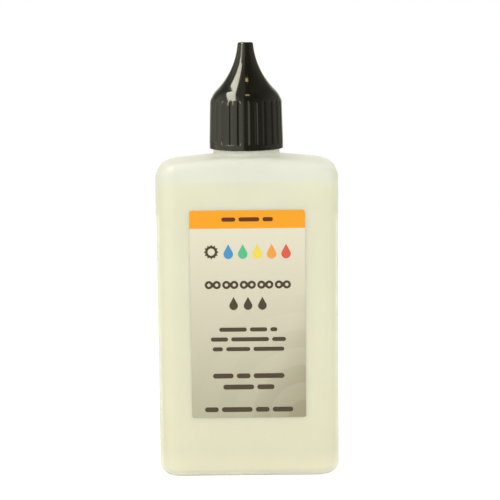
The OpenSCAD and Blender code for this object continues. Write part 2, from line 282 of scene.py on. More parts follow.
def modify(piece, kind, **settings):
    """Adds a modifier with its settings to the piece and applies it."""
    choose(piece)
    modifier = piece.modifiers.new(kind, kind)
    for name, value in settings.items():
        setattr(modifier, name, value)
    bpy.ops.object.modifier_apply(modifier=modifier.name)


def combine(piece, tool, operation, materials="INDEX"):
    """Joins a closed form to the piece or cuts it away, and removes the tool."""
    modify(piece, "BOOLEAN", object=tool, operation=operation, solver="EXACT", material_mode=materials)
    bpy.data.objects.remove(tool)


def smooth(piece, degrees):
    """Smooth shading up to an angle, with broad faces kept flat by weighted normals."""
    choose(piece)
    bpy.ops.object.shade_smooth_by_angle(angle=math.radians(degrees))
    modify(piece, "WEIGHTED_NORMAL", keep_sharp=True)


def finish_piece(piece, body, node, material):
    """Gives the piece a material if it has none and its body, and hides the CAD node it replaces."""
    if not piece.data.materials:
        piece.data.materials.append(material)
    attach(piece, body)
    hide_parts(node)


def inset(depth, radius):
    """How far a rounded edge stands in from its side, a depth below its top."""
    return radius - math.sqrt(radius ** 2 - (radius - depth) ** 2) if depth < radius else 0


def rounded_levels(side_radius, face_radius, steps=8):
    """(depth, inset at the sides, inset at the faces) down from full size to the end."""
    for i in range(steps + 1):
        depth = side_radius * (1 - math.sin(math.pi / 2 * i / steps))
        yield depth, inset(depth, side_radius), inset(depth, face_radius)


def selected_level():
    """Height of the selected vertices in edit mode."""
    mesh = bmesh.from_edit_mesh(bpy.context.edit_object.data)
    return next(v.co.z for v in mesh.verts if v.select)


def grow_rounded_end(z, up, corner, edge_x, edge_y, radii):
    """Extrudes the selected end towards z and rounds it over, one ring at a time."""
    done = (0, 0)
    level = selected_level()
    for depth, in_x, in_y in rounded_levels(*radii):
        new = z - up * depth
        extrude_up(new - level)
        level = new
        scale_x = (corner - in_x) / (corner - done[0])
        scale_y = (corner - in_y) / (corner - done[1])
        for side in (-1, 1):
            pick(lambda p: abs(p.z - level) < TINY and p.x * side > edge_x - TINY)
            resize((scale_x, 1, 1), (side * edge_x, 0, level))
            pick(lambda p: abs(p.z - level) < TINY and p.y * side > edge_y - TINY)
            resize((1, scale_y, 1), (0, side * edge_y, level))
        done = (in_x, in_y)
        pick_level(level)


def plan(half_x, half_y, corner, z, columns):
    """The bottle's outline seen from above, as a plane with rounded corners and cross lines."""
    start(bpy.ops.mesh.primitive_plane_add, size=1, location=(0, 0, z))
    resize((2 * half_x, 2 * half_y, 1), (0, 0, z))
    bpy.ops.mesh.bevel(offset=corner, segments=CORNER_STEPS, profile=0.5, affect="VERTICES")
    for x in columns:
        pick_all()
        bpy.ops.mesh.bisect(plane_co=(x, 0, z), plane_no=(1, 0, 0))
    pick_all()


def roof(shell, x):
    """Height of the shoulders over their side corners: a slope, with an arc over the crown."""
    run = SHELL_BOX[1].x - shell.shoulder_radius
    slope = shell.shoulder_rise / (run - shell.crown_half / 2)
    if abs(x) > run:
        return 0
    if abs(x) > shell.crown_half:
        return slope * (run - abs(x))
    return shell.shoulder_rise - slope * x * x / (2 * shell.crown_half)


def block(name, shell, skin, top=None):
    """The bottle's form, a skin inside its surface, up to its shoulders or to a level top."""
    half_x, half_y = SHELL_BOX[1].x - skin, SHELL_BOX[1].y - skin
    corner = shell.edge_radius - skin
    edge_x, edge_y = half_x - corner, half_y - corner
    # cross lines that let the roof bend: five over half the crown, one halfway to the corner
    lines = [shell.crown_half * i / 4 for i in range(5)] + [(shell.crown_half + edge_x) / 2]
    columns = sorted({side * x for side in (-1, 1) for x in lines})
    base = shell.base_radius
    plan(half_x, half_y, corner, base, columns)
    if top is None:
        low = shell.shoulder_height - shell.shoulder_radius
        radii = (shell.shoulder_radius - skin, shell.top_radius - skin)
        extrude_up(low - base)
        grow_rounded_end(shell.shoulder_height - skin, 1, corner, edge_x, edge_y, radii)
        mesh = bmesh.from_edit_mesh(bpy.context.edit_object.data)
        for x in sorted({round(v.co.x, 6) for v in mesh.verts}):
            pick(lambda p: p.z > low - TINY and round(p.x, 6) == x)
            bpy.ops.transform.translate(value=(0, 0, roof(shell, x)))
    else:
        extrude_up(top - base)
    pick_level(base)
    radii = (shell.base_radius - skin, shell.base_edge_radius - skin)
    grow_rounded_end(skin, -1, corner, edge_x, edge_y, radii)
    return leave(name)


def push_up_block(name, shell, skin):
    """The hollow under the base, or with a skin the floor that lies over it."""
    rim = shell.foot_width
    rise = shell.push_up + skin
    run = 1.5 / 1.3 * rise
    below = MM
    # the hollow's side is steep, so a floor of even thickness spreads further than its skin
    spread = 1.8 * skin
    out = spread - rim
    half_x, half_y = SHELL_BOX[1].x + out, SHELL_BOX[1].y + out
    plan(half_x, half_y, shell.edge_radius - rim / 2 + spread, -below, [])
    extrude_up(below)
    steps = 6
    angles = [math.pi / 2 * i / steps for i in range(steps + 1)]
    for was, now in zip(angles, angles[1:]):
        extrude_up(rise * (math.sin(now) - math.sin(was)))
        before, after = run * (1 - math.cos(was)), run * (1 - math.cos(now))
        resize(((half_x - after) / (half_x - before), (half_y - after) / (half_y - before), 1), (0, 0, 0))
    return leave(name)


def parting_line(shell):
    """A frame in the middle plane that cuts the fine line where the mould halves met."""
    width = 0.2 * MM
    size = 3 * (SHELL_BOX[1] - SHELL_BOX[0])
    start(bpy.ops.mesh.primitive_cube_add, size=1, location=(0, 0, shell.shoulder_height / 2))
    resize((size.x, width, size.z), (0, 0, 0))
    slab = leave("parting_line")
    combine(slab, block("core", shell, shell.seam), "DIFFERENCE")
    return slab


def pinch_scar(shell):
    """The raised scar across the push-up, rounded along its length."""
    width, depth, soft = 0.9 * MM, 0.35 * MM, 0.2 * MM
    start(bpy.ops.mesh.primitive_cube_add, size=1, location=(0, 0, shell.push_up))
    resize((shell.pinch, width, 2 * depth), (0, 0, shell.push_up))
    bpy.ops.mesh.bevel(offset=soft, segments=3, affect="EDGES")
    return leave("pinch_scar")


def turned(name, profile, count, closed=False):
    """A turned form: a circle extruded and scaled from each (radius, height) to the next."""
    radius, z = profile[0]
    start(bpy.ops.mesh.primitive_circle_add, vertices=count, radius=radius, location=(0, 0, z))
    follow(profile)
    if closed:
        return leave(name)
    for radius, z in (profile[0], profile[-1]):
        pick(lambda p: abs(p.z - z) < TINY and abs(math.hypot(p.x, p.y) - radius) < TINY)
        bpy.ops.mesh.edge_face_add()
    return leave(name)


def follow(profile):
    """Extrudes the selected ring or arc along a profile and scales it about the axis."""
    for (r0, z0), (r1, z1) in zip(profile, profile[1:]):
        extrude_up(z1 - z0)
        resize((r1 / r0, r1 / r0, 1), (0, 0, z1))


def arc(centre, radius, first, last, steps):
    """Points (radius, height) along an arc between two angles in degrees."""
    angles = [math.radians(first + (last - first) * i / steps) for i in range(steps + 1)]
    return [(centre[0] + radius * math.cos(a), centre[1] + radius * math.sin(a)) for a in angles]


def thread(name, root, crest, z, pitch, turns, width):
    """A screw thread's ridge from root to crest, which runs out at both ends."""
    steps = 48
    last = round(steps * turns)
    run_out = steps // 8
    # widths of the ridge at its crest and of its end, as shares of the whole
    crest_share, stub = 0.35, 0.3
    start(bpy.ops.mesh.primitive_plane_add, size=1, rotation=(math.pi / 2, 0, 0))
    resize((abs(crest - root), 1, width), (0, 0, 0))
    bpy.ops.transform.translate(value=((crest + root) / 2, 0, z))
    towards = 1 if crest > root else -1
    pick(lambda p: (p.x - root) * towards > abs(crest - root) / 2)
    resize((1, 1, crest_share), (crest, 0, z))
    bpy.ops.object.mode_set(mode="OBJECT")
    modify(bpy.context.active_object, "SCREW", angle=2 * math.pi * turns, screw_offset=pitch * turns,
           steps=last, render_steps=last, use_merge_vertices=False)
    bpy.ops.object.mode_set(mode="EDIT")
    for i in range(run_out):
        for ring in (i, last - i):
            a = 2 * math.pi * ring / steps
            level = z + pitch * ring / steps
            side = (math.cos(a), math.sin(a))
            pick(lambda p: abs(p.z - level) < width / 2 + TINY
                 and abs(p.x * side[1] - p.y * side[0]) < TINY and p.x * side[0] + p.y * side[1] > 0)
            share = (i + stub) / run_out
            resize((share, share, 1), (root * side[0], root * side[1], level))
    bpy.ops.mesh.select_mode(type="EDGE")
    bpy.ops.mesh.select_all(action="DESELECT")
    bpy.ops.mesh.select_non_manifold()
    bpy.ops.mesh.fill()
    return leave(name)


def neck_form(shell, neck, collar_top):
    """Outside of the neck: collar, root of the thread and rounded lip, down into the shoulders."""
    collar, finish, rim = neck.collar_diameter / 2, neck.finish_diameter / 2, SHELL_BOX[1].z
    soft, lip = 0.15 * MM, 0.3 * MM
    profile = [(collar, shell.shoulder_height - shell.shoulder_radius)]
    profile += arc((collar - soft, collar_top - soft), soft, 0, 90, 4)
    profile += arc((finish + soft, collar_top + soft), soft, 270, 180, 4)
    profile += arc((finish - lip, rim - lip), lip, 0, 90, 4)
    return turned("neck", profile, 96)


def fillet_collar(piece, neck, collar_top):
    """Rounds the edges in which the collar meets the shoulders."""
    bpy.ops.object.mode_set(mode="EDIT")
    bpy.ops.mesh.select_all(action="DESELECT")
    mesh = bmesh.from_edit_mesh(piece.data)
    for e in mesh.edges:
        e.select_set(all(
            abs(math.hypot(v.co.x, v.co.y) - neck.collar_diameter / 2) < 5 * TINY
            and v.co.z < collar_top - neck.collar_fillet / 2 for v in e.verts))
    bmesh.update_edit_mesh(piece.data)
    bpy.ops.mesh.bevel(offset=neck.collar_fillet, segments=4, profile=0.5)
    bpy.ops.object.mode_set(mode="OBJECT")


def cavity(shell, neck, collar_top):
    """The space inside the shell, with its floor over the push-up, and the bore out of it."""
    inside = block("inside", shell, shell.wall)
    combine(inside, push_up_block("floor", shell, shell.wall), "DIFFERENCE")
    void, bore = neck.collar_diameter / 2 - shell.wall, neck.bore_diameter / 2
    foot, ceiling = shell.shoulder_height - shell.shoulder_radius, collar_top - shell.wall
    way_out = [(void, foot), (void, ceiling), (bore, ceiling), (bore, SHELL_BOX[1].z + MM)]
    combine(inside, turned("bore", way_out, 96), "UNION")
    return inside


def cap_arcs(cap, rim, top):
    """Centres of the cap's shoulder and flare, the flare's radius, and the angle where they meet.

    The flare is the arc that runs on from the shoulder's and leaves the tip at its slope.
    """
    slope = cap.tip_slope
    shoulder = (cap.skirt_top / 2 - cap.shoulder_radius * math.cos(cap.shoulder_slope),
                rim + cap.skirt_height - cap.shoulder_radius * math.sin(cap.shoulder_slope))
    edge = (cap.tip_diameter / 2, top - cap.tip_round)
    dx, dz = edge[0] - shoulder[0], edge[1] - shoulder[1]
    reach = dx * math.cos(slope) + dz * math.sin(slope)
    radius = (dx * dx + dz * dz - cap.shoulder_radius ** 2) / (2 * (cap.shoulder_radius - reach))
    flare = (edge[0] + radius * math.cos(slope), edge[1] + radius * math.sin(slope))
    meet = math.degrees(math.atan2(flare[1] - shoulder[1], flare[0] - shoulder[0]))
    return shoulder, flare, radius, meet


def cap_inside(cap, rim, top, seat):
    """Profile inside the cap: pin, closed end, flare, sealing ring, shoulder and bore to the rim."""
    shoulder, flare, flare_radius, meet = cap_arcs(cap, rim, top)
    pin, pin_end = cap.pin_diameter / 2, DROPPER_BOX[1].z - cap.pin_length
    end = top - cap.tip_wall
    radius = flare_radius + cap.wall
    ring_in = (cap.ring_diameter - cap.ring_wall) / 2
    ring_out = (cap.ring_diameter + cap.ring_wall) / 2
    end_angle = 180 - math.degrees(math.asin((end - flare[1]) / radius))
    ring_angle = 180 + math.degrees(math.acos((flare[0] - ring_in) / radius))
    ring_top = flare[1] - math.sqrt(radius ** 2 - (flare[0] - ring_out) ** 2)
    chamfer = 0.3 * MM
    profile = [(POLE, pin_end), (pin, pin_end), (pin, end)]
    profile += arc(flare, radius, end_angle, ring_angle, 12)
    profile += [(ring_in, seat), (ring_out, seat), (ring_out, ring_top)]
    slope = math.degrees(cap.shoulder_slope)
    profile += arc(shoulder, cap.shoulder_radius - cap.wall, meet - 1, slope, 8)
    bore = profile[-1][0]
    return profile + [(bore, rim + chamfer), (bore + chamfer, rim)]


def cap_outside(cap, rim, top):
    """Profile outside the cap: bead, leaning skirt, shoulder, flare and rounded tip."""
    shoulder, flare, flare_radius, meet = cap_arcs(cap, rim, top)
    bead, bead_z, skirt_z = CAP_BOX[1].x, rim + cap.bead_height, rim + cap.skirt_height
    low, high, edge = cap.skirt_diameter / 2, cap.skirt_top / 2, cap.tip_diameter / 2 - cap.tip_round
    soft, chamfer = 0.1 * MM, 0.05 * MM
    profile = arc((bead - chamfer, rim + chamfer), chamfer, -90, 0, 1)
    profile += arc((bead - soft, bead_z - soft), soft, 0, 60, 3)
    # the short first step is the sill at which the grooves end
    for share in (0, 0.008, *(i / 10 for i in range(1, 11))):
        profile.append((low + (high - low) * share, bead_z + (skirt_z - bead_z) * share))
    profile += arc(shoulder, cap.shoulder_radius, math.degrees(cap.shoulder_slope), meet, 14)[1:]
    profile += arc(flare, flare_radius, 180 + meet, 180 + math.degrees(cap.tip_slope), 18)[1:]
    profile += arc((edge, top - cap.tip_round), cap.tip_round, 0, 90, 5)
    return profile + [(POLE, top)]


def cap_sector(cap, profile, sector):
    """A sector of the cap, one rib wide: an arc of a circle that follows the profile."""
    radius, z = profile[0]
    start(bpy.ops.mesh.primitive_circle_add, vertices=RIB_COLUMNS * cap.rib_count,
          radius=radius, location=(0, 0, z))
    pick(lambda p: abs(math.atan2(p.y, p.x)) > sector / 2 + TINY)
    bpy.ops.mesh.delete(type="VERT")
    pick_all()
    follow(profile)


def cut_groove(cap, rim, bore, outside, sector):
    """Presses the groove into the sector, up to where the shoulder falls inside its floor."""
    low, bead_z = cap.skirt_diameter / 2, rim + cap.bead_height
    run_out = rim + cap.skirt_height + 4 * MM
    lean = (cap.skirt_top - cap.skirt_diameter) / 2 / (cap.skirt_height - cap.bead_height)
    for i, share in enumerate(GROOVE):
        inner, outer = (i - 0.5) * sector / RIB_COLUMNS, (i + 0.5) * sector / RIB_COLUMNS
        for r, z in outside:
            floor = low + lean * (z - bead_z) - share * cap.groove_depth
            if not bead_z + TINY < z < run_out or r <= floor:
                continue
            pick(lambda p: abs(p.z - z) < TINY / 5 and math.hypot(p.x, p.y) > bore
                 and inner < abs(math.atan2(p.y, p.x)) < outer)
            resize((floor / r, floor / r, 1), (0, 0, z))


def repeat_rib(cap, sector):
    """Repeats the sector round the axis and turns the first groove to its place in front."""
    pick_all()
    bpy.ops.mesh.spin(
        steps=cap.rib_count, dupli=True, angle=2 * math.pi, center=(0, 0, 0), axis=(0, 0, 1))
    pick_all()
    bpy.ops.mesh.remove_doubles(threshold=TINY / 2)
    # the spin starts its grooves at +X, which can be up to a rib off the front
    pick_all()
    bpy.ops.transform.rotate(
        value=-(math.pi / 2 % sector + cap.rib_turn), orient_axis="Z", center_override=(0, 0, 0))


# Materials

NODE_STEP = 220
RGBA = {"data_type": "RGBA"}
SMOOTHSTEP = {"interpolation_type": "SMOOTHSTEP"}


def add_node(tree, kind, sockets=None, **settings):
    """Adds a shader node with its settings, to the right of the nodes before it.

    A socket takes a value, an output, or a node that stands for its first output in use.
    """
    node = tree.nodes.new("ShaderNode" + kind)
    node.location.x = NODE_STEP * len(tree.nodes)
    for name, value in settings.items():
        setattr(node, name, value)
    for name, value in (sockets or {}).items():
        if isinstance(value, bpy.types.Node):
            value = next(output for output in value.outputs if output.enabled)
        if isinstance(value, bpy.types.NodeSocket):
            tree.links.new(value, node.inputs[name])
        else:
            node.inputs[name].default_value = value
    return node


def new_material(name):
    """A new material, its emptied node tree and its object coordinates."""
    material = bpy.data.materials.new(name)
    material.use_nodes = True
    tree = material.node_tree
    tree.nodes.clear()
    place = add_node(tree, "TexCoord").outputs["Object"]
    return material, tree, place


def fill_ramp(ramp, stops):
    """Gives a colour ramp its stops, each a position and a linear colour."""
    elements = ramp.color_ramp.elements
    for i, (position, value) in enumerate(stops):
        stop = elements[0] if i == 0 else elements.new(position)
        stop.position = position
        stop.color = [*value, 1]
    elements.remove(elements[-1])


def hdpe_colour(tree, place, shell):
    """Natural HDPE's colour: faint clouds, painted shade at the narrow sides, tinted by the oil, painted
    light at the base.
    """
    cloud = add_node(tree, "TexNoise", {"Vector": place, "Scale": 1 / (14 * MM)})
    tint = add_node(tree, "Mix", {
        "Factor": cloud, "A": [*shell.plastic, 1], "B": [*(c * 0.94 for c in shell.plastic), 1]}, **RGBA)
    # painted shade: the narrow sides are darker and yellower, as where they are looked through lengthwise
    axes = add_node(tree, "SeparateXYZ", {"Vector": place})
    aside = add_node(tree, "Math", {0: axes.outputs["X"]}, operation="ABSOLUTE")
    side = SHELL_BOX[1].x
    painted_deep_shade = add_node(tree, "MapRange", {
        "Value": aside, "From Min": side - 3.5 * MM, "From Max": side - 0.3 * MM}, **SMOOTHSTEP)
    shade = add_node(tree, "Mix", {
        "Factor": painted_deep_shade, "A": tint,
        "B": [*(c * k for c, k in zip(shell.plastic, (0.87, 0.88, 0.81))), 1]}, **RGBA)
    # up to the line that the oil has wetted, its colour shows through the wall
    line = OIL_BOX[1].z + shell.wet
    wet = add_node(tree, "MapRange", {
        "Value": axes.outputs["Z"], "From Min": line, "From Max": line + 0.3 * MM,
        "To Min": 1, "To Max": 0})
    stained = add_node(tree, "Mix", {
        "Factor": wet, "A": shade, "B": (1.01, 1.0, 0.94, 1)}, **RGBA, blend_type="MULTIPLY")
    # painted light: the base is lighter and yellower, as where light gathers in the oil above it
    low = add_node(tree, "MapRange", {
        "Value": axes.outputs["Z"], "From Min": MM, "From Max": 9 * MM,
        "To Min": 1, "To Max": 0}, **SMOOTHSTEP)
    return add_node(tree, "Mix", {"Factor": low, "A": stained, "B": [*shell.foot, 1]}, **RGBA)


def natural_hdpe(shell, name, haze, roughness):
    """Natural HDPE, blow-moulded: milky and see-through, satin from the blasted mould.

    The plastic shows as a soft haze over what lies behind it, with a fine even grain that
    breaks up its sheen, and faint clouds where the wall is a little thicker.
    """
    material, tree, place = new_material(name)
    # blasting leaves pits of about 0.05 mm, drawn at 0.5 mm so that they show
    grit = add_node(tree, "TexNoise", {"Vector": place, "Scale": 1 / (0.5 * MM)})
    bump = add_node(tree, "Bump", {"Strength": 0.08, "Distance": 0.05 * MM, "Height": grit})
    plastic = add_node(tree, "BsdfPrincipled", {
        "Base Color": hdpe_colour(tree, place, shell), "Roughness": roughness, "IOR": 1.51,
        "Alpha": haze, "Subsurface Weight": 0.3, "Subsurface Scale": 3 * MM,
        "Subsurface Radius": (1, 0.95, 0.85), "Normal": bump})
    add_node(tree, "OutputMaterial", {"Surface": plastic})
    return material


def light_oil(oil):
    """Refined mineral oil: a smooth, wet, straw-coloured body that glows a little at its edges."""
    material, tree, place = new_material("mineral oil, light")
    # painted shade: the colour deepens towards the bottom, where the light has passed through more oil
    axes = add_node(tree, "SeparateXYZ", {"Vector": place})
    depth = add_node(tree, "MapRange", {
        "Value": axes.outputs["Z"], "From Min": OIL_BOX[0].z, "From Max": OIL_BOX[1].z})
    tint = add_node(tree, "Mix", {"Factor": depth, "A": [*oil.painted_deep_shade, 1], "B": [*oil.oil, 1]}, **RGBA)
    # painted reflection: the surface has a deeper colour, as it is seen at a flat angle and mirrors the
    # wall behind it
    top = add_node(tree, "Math", {
        0: axes.outputs["Z"], 1: OIL_BOX[1].z - 1.1 * oil.meniscus}, operation="GREATER_THAN")
    colours = add_node(tree, "Mix", {"Factor": top, "A": tint, "B": [*oil.surface, 1]}, **RGBA)
    liquid = add_node(tree, "BsdfPrincipled", {
        "Base Color": colours, "Roughness": 0.08, "IOR": 1.47, "Subsurface Weight": 0.3,
        "Subsurface Scale": 4 * MM, "Subsurface Radius": (1, 0.9, 0.5)})
    add_node(tree, "OutputMaterial", {"Surface": liquid})
    return material


def natural_ldpe(dropper):
    """Natural LDPE, injection-moulded: waxy white, a soft sheen, light through its thin tip."""
    material, tree, place = new_material("LDPE natural, injection-moulded")
    # the mould's fine texture, drawn at 0.4 mm
    wax = add_node(tree, "TexNoise", {"Vector": place, "Scale": 1 / (0.4 * MM)})
    sheen = add_node(tree, "MapRange", {
        "Value": wax, "From Min": 0.3, "From Max": 0.7, "To Min": 0.32, "To Max": 0.42})
    plastic = add_node(tree, "BsdfPrincipled", {
        "Base Color": [*dropper.plastic, 1], "Roughness": sheen, "IOR": 1.51, "Subsurface Weight": 0.7,
        "Subsurface Scale": MM, "Subsurface Radius": (1.6, 1.5, 1.2)})
    add_node(tree, "OutputMaterial", {"Surface": plastic})
    return material


def black_pp(cap):
    """Black polypropylene from a polished mould: olive-black and glossy, with sharp highlights.

    Its surface is faintly wavy where the plastic shrank, and its gloss is a little uneven.
    """
    material, tree, place = new_material("PP black, polished mould")
    wave = add_node(tree, "TexNoise", {"Vector": place, "Scale": 1 / (3 * MM)})
    gloss = add_node(tree, "MapRange", {
        "Value": wave, "From Min": 0.3, "From Max": 0.7, "To Min": 0.09, "To Max": 0.14})
    bump = add_node(tree, "Bump", {"Strength": 0.05, "Distance": 0.05 * MM, "Height": wave})
    plastic = add_node(tree, "BsdfPrincipled", {
        "Base Color": [*cap.plastic, 1], "Roughness": gloss, "IOR": 1.5, "Normal": bump})
    add_node(tree, "OutputMaterial", {"Surface": plastic})
    return material


def ripples(tree, place):
    """Rings 11 mm apart about the label's lower right corner, strongest near it."""
    centre = (FILM_BOX[1].x, 0, FILM_BOX[0].z)
    flat = add_node(tree, "VectorMath", {0: place, 1: (1, 0, 1)}, operation="MULTIPLY")
    reach = add_node(tree, "VectorMath", {0: flat, 1: centre}, operation="DISTANCE")
    ring = add_node(tree, "Math", {0: reach, 1: 2 * math.pi / (11 * MM)}, operation="MULTIPLY")
    ripple = add_node(tree, "Math", {0: ring}, operation="SINE")
    edge = add_node(tree, "MapRange", {
        "Value": ripple, "From Min": -0.25, "From Max": 0.25, "To Min": -1, "To Max": 1}, **SMOOTHSTEP)
    fade = add_node(tree, "MapRange", {
        "Value": reach, "From Max": 48 * MM, "To Min": 0.14, "To Max": 0})
    return add_node(tree, "Math", {0: edge, 1: fade}, operation="MULTIPLY")


def printed_film(label):
    """Polypropylene film, printed and varnished: pale at the top, browner to the lower right.

    Broad soft ripples spread from the lower right corner, and the varnish is nearly smooth.
    """
    material, tree, place = new_material("polypropylene film, printed and varnished")
    low, high = FILM_BOX
    axes = add_node(tree, "SeparateXYZ", {"Vector": place})
    up = add_node(tree, "MapRange", {"Value": axes.outputs["Z"], "From Min": low.z, "From Max": high.z})
    across = add_node(tree, "MapRange", {
        "Value": axes.outputs["X"], "From Min": low.x, "From Max": high.x})
    ground = add_node(tree, "Mix", {
        "Factor": up, "A": [*label.paper_low, 1], "B": [*label.paper_top, 1]}, **RGBA)
    lean = add_node(tree, "Math", {0: across, 1: up}, operation="SUBTRACT")
    dark = add_node(tree, "MapRange", {
        "Value": lean, "From Min": 0.3, "From Max": 1.05, "To Max": 0.9}, **SMOOTHSTEP)
    mark = ripples(tree, place)
    total = add_node(tree, "Math", {0: dark, 1: mark}, operation="ADD", use_clamp=True)
    shade = add_node(tree, "Mix", {"Factor": total, "A": ground, "B": [*label.paper_dark, 1]}, **RGBA)
    # varnish flows out to a slight orange peel, 1.5 mm across
    peel = add_node(tree, "TexNoise", {"Vector": place, "Scale": 1 / (1.5 * MM), "Detail": 1.0})
    bump = add_node(tree, "Bump", {"Strength": 0.04, "Distance": 0.02 * MM, "Height": peel})
    film = add_node(tree, "BsdfPrincipled", {
        "Base Color": shade, "Roughness": 0.22, "IOR": 1.5, "Normal": bump})
    add_node(tree, "OutputMaterial", {"Surface": film})
    return material


def ink(name, code, over_band=None):
    """Flexographic ink under varnish: a thin even layer, mottled where it took less well.

    The ink is translucent, so it may look another colour where it lies over the band.
    """
    material, tree, place = new_material(name)
    # real mottle is about 0.1 mm across, drawn at 0.3 mm so that it shows
    mottle = add_node(tree, "TexNoise", {"Vector": place, "Scale": 1 / (0.3 * MM)})
    tint = add_node(tree, "Mix", {
        "Factor": mottle, "A": [*code, 1], "B": [*(c * 0.9 for c in code), 1]}, **RGBA)
    if over_band:
        axes = add_node(tree, "SeparateXYZ", {"Vector": place})
        above = add_node(tree, "Math", {
            0: axes.outputs["Z"], 1: BAND_BOX[0].z}, operation="GREATER_THAN")
        tint = add_node(tree, "Mix", {"Factor": above, "A": tint, "B": [*over_band, 1]}, **RGBA)
    layer = add_node(tree, "BsdfPrincipled", {"Base Color": tint, "Roughness": 0.24, "IOR": 1.5})
    add_node(tree, "OutputMaterial", {"Surface": layer})
    return material


DROP_COLOURS = ("3F93C4", "4FBF86", "F2D84A", "F2A03C", "DB5A3C")


def drop_inks():
    """Five flexographic inks side by side, one for each drop, with the same even gloss."""
    material, tree, place = new_material("flexographic inks, five colours")
    low, high = DROPS_BOX
    axes = add_node(tree, "SeparateXYZ", {"Vector": place})
    across = add_node(tree, "MapRange", {
        "Value": axes.outputs["X"], "From Min": low.x, "From Max": high.x})
    ramp = add_node(tree, "ValToRGB", {"Fac": across})
    ramp.color_ramp.interpolation = "CONSTANT"
    count = len(DROP_COLOURS)
    fill_ramp(ramp, [(i / count, linear(code)) for i, code in enumerate(DROP_COLOURS)])
    mottle = add_node(tree, "TexNoise", {"Vector": place, "Scale": 1 / (0.3 * MM)})
    tone = add_node(tree, "MapRange", {"Value": mottle, "To Min": 1.0, "To Max": 0.92})
    tint = add_node(tree, "VectorMath", {0: ramp, "Scale": tone}, operation="SCALE")
    layer = add_node(tree, "BsdfPrincipled", {"Base Color": tint, "Roughness": 0.24, "IOR": 1.5})
    add_node(tree, "OutputMaterial", {"Surface": layer})
    return material


# Pieces

class LUBE_OT_bottle(bpy.types.Operator):
    """Blown shell with its neck, thread, bore and push-up"""
    bl_idname = "lube.bottle"
    bl_label = "Bottle"

    def execute(self, context):
        shell, neck = context.scene.lube_shell, context.scene.lube_neck
        collar_top = CAP_BOX[0].z - neck.collar_gap
        root = neck.finish_diameter / 2
        outside = block("bottle_shell", shell, 0)
        combine(outside, parting_line(shell), "DIFFERENCE")
        combine(outside, neck_form(shell, neck, collar_top), "UNION")
        fillet_collar(outside, neck, collar_top)
        ridge = thread("thread", root - SINK, root + neck.thread_height, collar_top + neck.thread_start,
                       neck.pitch, neck.thread_turns, neck.thread_width)
        combine(outside, ridge, "UNION")
        combine(outside, push_up_block("push_up", shell, 0), "DIFFERENCE")
        combine(outside, pinch_scar(shell), "UNION")
        inside = cavity(shell, neck, collar_top)
        # most of the haze sits on the outside, so that the thick edges don't look brighter
        skin = natural_hdpe(shell, "HDPE natural, blow-moulded", shell.haze, roughness=0.45)
        inner = natural_hdpe(shell, "HDPE natural, inner wall", shell.inner_haze, roughness=0.3)
        outside.data.materials.append(skin)
        inside.data.materials.append(inner)
        combine(outside, inside, "DIFFERENCE", materials="TRANSFER")
        smooth(outside, 35)
        finish_piece(outside, "bottle_body", "bottle", skin)
        return {"FINISHED"}


class LUBE_OT_oil(bpy.types.Operator):
    """Oil up to the fill line, with a meniscus along the wall"""
    bl_idname = "lube.oil"
    bl_label = "Oil"

    def execute(self, context):
        shell, oil = context.scene.lube_shell, context.scene.lube_oil
        skin = shell.wall + oil.gap
        fill = OIL_BOX[1].z
        body = block("oil_body", shell, skin, top=fill)
        combine(body, push_up_block("floor", shell, skin), "DIFFERENCE")
        bpy.ops.object.mode_set(mode="EDIT")
        pick_level(fill)
        for share, width in MENISCUS:
            bpy.ops.mesh.inset(thickness=width)
            bpy.ops.transform.translate(value=(0, 0, -share * oil.meniscus))
        body = leave("oil_body")
        smooth(body, 60)
        finish_piece(body, "bottle_body", "oil", light_oil(oil))
        return {"FINISHED"}


class LUBE_OT_dropper(bpy.types.Operator):
    """Dropper pressed into the neck: plug, flange and nozzle in one piece"""
    bl_idname = "lube.dropper"
    bl_label = "Dropper"

    def execute(self, context):
        dropper = context.scene.lube_dropper
        low, high = DROPPER_BOX
        rim = SHELL_BOX[1].z
        plug, wall = dropper.plug_diameter / 2, dropper.plug_wall
        nozzle, tip = dropper.nozzle_diameter / 2, dropper.tip_diameter / 2
        drip = dropper.drip_diameter / 2
        top = rim + dropper.flange
        soft = 0.25 * MM
        profile = [(plug - wall, low.z), (plug - wall / 2, low.z), (plug, low.z + wall), (plug, rim)]
        profile += arc((high.x - soft, rim + soft), soft, -90, 0, 3)
        profile += arc((high.x - soft, top - soft), soft, 0, 90, 3)
        profile += arc((nozzle + 2 * soft, top + 2 * soft), 2 * soft, 270, 190, 4)
        profile += arc((tip - soft, high.z - soft), soft, 10, 90, 3)
        profile += [(drip, high.z), (drip, high.z - dropper.drip_length),
                    (nozzle - dropper.nozzle_wall, top), (plug - wall, rim - wall), (plug - wall, low.z)]
        piece = turned("dropper", profile, 64, closed=True)
        smooth(piece, 40)
        finish_piece(piece, "bottle_body", "dropper_insert", natural_ldpe(dropper))
        return {"FINISHED"}


class LUBE_OT_cap(bpy.types.Operator):
    """Pointed screw cap: one rib is modelled and repeated round the skirt"""
    bl_idname = "lube.cap"
    bl_label = "Cap"

    def execute(self, context):
        cap, neck = context.scene.lube_cap, context.scene.lube_neck
        collar_top = CAP_BOX[0].z - neck.collar_gap
        rim, top = collar_top + cap.rim_gap, CAP_BOX[1].z
        seat = SHELL_BOX[1].z + context.scene.lube_dropper.flange + cap.ring_gap
        inside, outside = cap_inside(cap, rim, top, seat), cap_outside(cap, rim, top)
        bore = inside[-2][0]
        sector = 2 * math.pi / cap.rib_count
        cap_sector(cap, inside + outside, sector)
        cut_groove(cap, rim, bore, outside, sector)
        repeat_rib(cap, sector)
        piece = leave("cap_ribbed")
        # its ridge lies half a pitch below the neck's, so the closed cap hangs on it
        ridge = thread("cap_thread", bore + SINK, bore - cap.thread_depth,
                       collar_top + neck.thread_start - neck.pitch / 2,
                       neck.pitch, cap.thread_turns, cap.thread_width)
        combine(piece, ridge, "UNION")
        smooth(piece, 35)
        finish_piece(piece, "cap_body", "cap", black_pp(cap))
        return {"FINISHED"}


